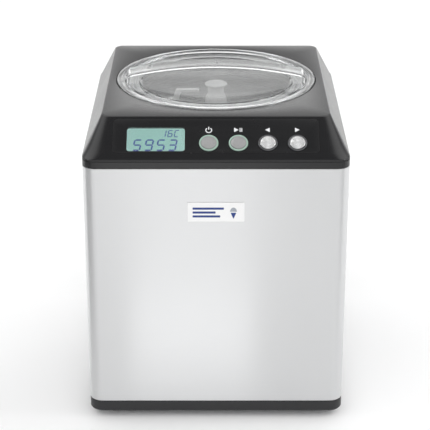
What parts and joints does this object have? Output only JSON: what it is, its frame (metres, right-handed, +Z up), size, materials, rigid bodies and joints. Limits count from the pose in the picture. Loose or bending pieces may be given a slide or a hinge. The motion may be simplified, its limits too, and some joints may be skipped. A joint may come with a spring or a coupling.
{
  "type": "ice cream maker",
  "caption": "Table-top compressor ice cream maker: upright steel case, sloping control panel with display and buttons, lift-out bowl, turning paddle and clear lid.",
  "frame": {"origin": "on the table, under the middle of the case", "axes": "+Z up, -Y towards the front with the display and buttons, +X to the right as seen from the front"},
  "size_m": [0.29, 0.32, 0.369],
  "materials": {
    "black_plastic": "satin",
    "dark_plastic": "satin",
    "steel": "brushed",
    "aluminium": "spun",
    "chrome": "polished",
    "clear": "polished clear",
    "white_plastic": "satin",
    "lit_ring": "satin",
    "display": "satin",
    "rubber": "matte",
    "copper": "drawn",
    "brass": "turned",
    "machined_steel": "turned",
    "circuit": "satin",
    "nylon": "moulded",
    "foam": "foamed",
    "black_paint": "gloss"
  },
  "bodies": {
    "root": {"base_plate": "machined_steel", "base_skirt": "dark_plastic", "compressor": "black_paint", "compressor_grommet_1": "rubber", "compressor_grommet_2": "rubber", "compressor_grommet_3": "rubber", "condenser": "aluminium", "control_board": "circuit", "control_fascia": "black_plastic", "cooling_well": "aluminium", "discharge_pipe": "copper", "display_module": "display", "display_window": "clear", "evaporator_coil": "copper", "fan_frame": "dark_plastic", "filter_drier": "copper", "foot_front_left": "rubber", "foot_front_right": "rubber", "foot_rear_left": "rubber", "foot_rear_right": "rubber", "front_badge": "white_plastic", "gearbox_cover": "dark_plastic", "gearbox_tray": "dark_plastic", "inlet_pin_1": "brass", "inlet_pin_2": "brass", "inlet_pin_3": "brass", "inlet_socket": "dark_plastic", "insulation": "foam", "left_button_ring": "dark_plastic", "middle_gear_axle": "machined_steel", "motor": "aluminium", "power_board": "circuit", "power_button_ring": "lit_ring", "rear_cover": "dark_plastic", "rear_screw_1": "chrome", "rear_screw_2": "chrome", "rear_screw_3": "chrome", "rear_screw_4": "chrome", "right_button_ring": "dark_plastic", "shaft_bush": "brass", "start_button_ring": "lit_ring", "steel_wrap": "steel", "suction_pipe": "copper", "top_cover": "black_plastic"},
    "lid": {"lid": "clear", "lid_handle": "clear"},
    "bowl": {"bowl": "aluminium"},
    "shaft": {"drive_shaft": "machined_steel", "output_gear": "nylon"},
    "paddle": {"mixing_paddle": "white_plastic"},
    "middle_gear": {"middle_gear": "nylon"},
    "motor_pinion": {"motor_pinion": "brass"},
    "fan_rotor": {"fan_rotor": "dark_plastic"},
    "power_button": {"power_button": "chrome"},
    "start_button": {"start_button": "chrome"},
    "left_button": {"left_button": "chrome"},
    "right_button": {"right_button": "chrome"}
  },
  "joints": [
    {"name": "lid_lift", "type": "slide", "parent": "root", "child": "lid", "axis": [0, 0, 1], "range_m": [0, 0.3]},
    {"name": "bowl_lift", "type": "slide", "parent": "root", "child": "bowl", "axis": [0, 0, 1], "range_m": [0, 0.15]},
    {"name": "shaft_spin", "type": "hinge", "parent": "root", "child": "shaft", "pos_m": [0, 0.026, 0.204], "axis": [0, 0, 1], "continuous": true},
    {"name": "paddle_lift", "type": "slide", "parent": "shaft", "child": "paddle", "axis": [0, 0, 1], "range_m": [0, 0.225]},
    {"name": "middle_gear_spin", "type": "hinge", "parent": "root", "child": "middle_gear", "pos_m": [0.02858, 0.0095, 0.172], "axis": [0, 0, 1], "continuous": true},
    {"name": "motor_spin", "type": "hinge", "parent": "root", "child": "motor_pinion", "pos_m": [0.05716, -0.007, 0.172], "axis": [0, 0, 1], "continuous": true},
    {"name": "fan_spin", "type": "hinge", "parent": "root", "child": "fan_rotor", "pos_m": [0.104, 0.005, 0.088], "axis": [1, 0, 0], "continuous": true},
    {"name": "power_press", "type": "slide", "parent": "root", "child": "power_button", "axis": [0, 0.5675, -0.8233], "range_m": [0, 0.0012], "stiffness_N_per_m": 400, "springref_m": -0.0005},
    {"name": "start_press", "type": "slide", "parent": "root", "child": "start_button", "axis": [0, 0.5675, -0.8233], "range_m": [0, 0.0012], "stiffness_N_per_m": 400, "springref_m": -0.0005},
    {"name": "left_press", "type": "slide", "parent": "root", "child": "left_button", "axis": [0, 0.5675, -0.8233], "range_m": [0, 0.0012], "stiffness_N_per_m": 400, "springref_m": -0.0005},
    {"name": "right_press", "type": "slide", "parent": "root", "child": "right_button", "axis": [0, 0.5675, -0.8233], "range_m": [0, 0.0012], "stiffness_N_per_m": 400, "springref_m": -0.0005}
  ],
  "couplings": [
    {"joint": "bowl_lift", "follows": "lid_lift", "ratio": 0.5},
    {"joint": "paddle_lift", "follows": "lid_lift", "ratio": 0.75},
    {"joint": "middle_gear_spin", "follows": "shaft_spin", "ratio": -4},
    {"joint": "motor_spin", "follows": "shaft_spin", "ratio": 16}
  ]
}
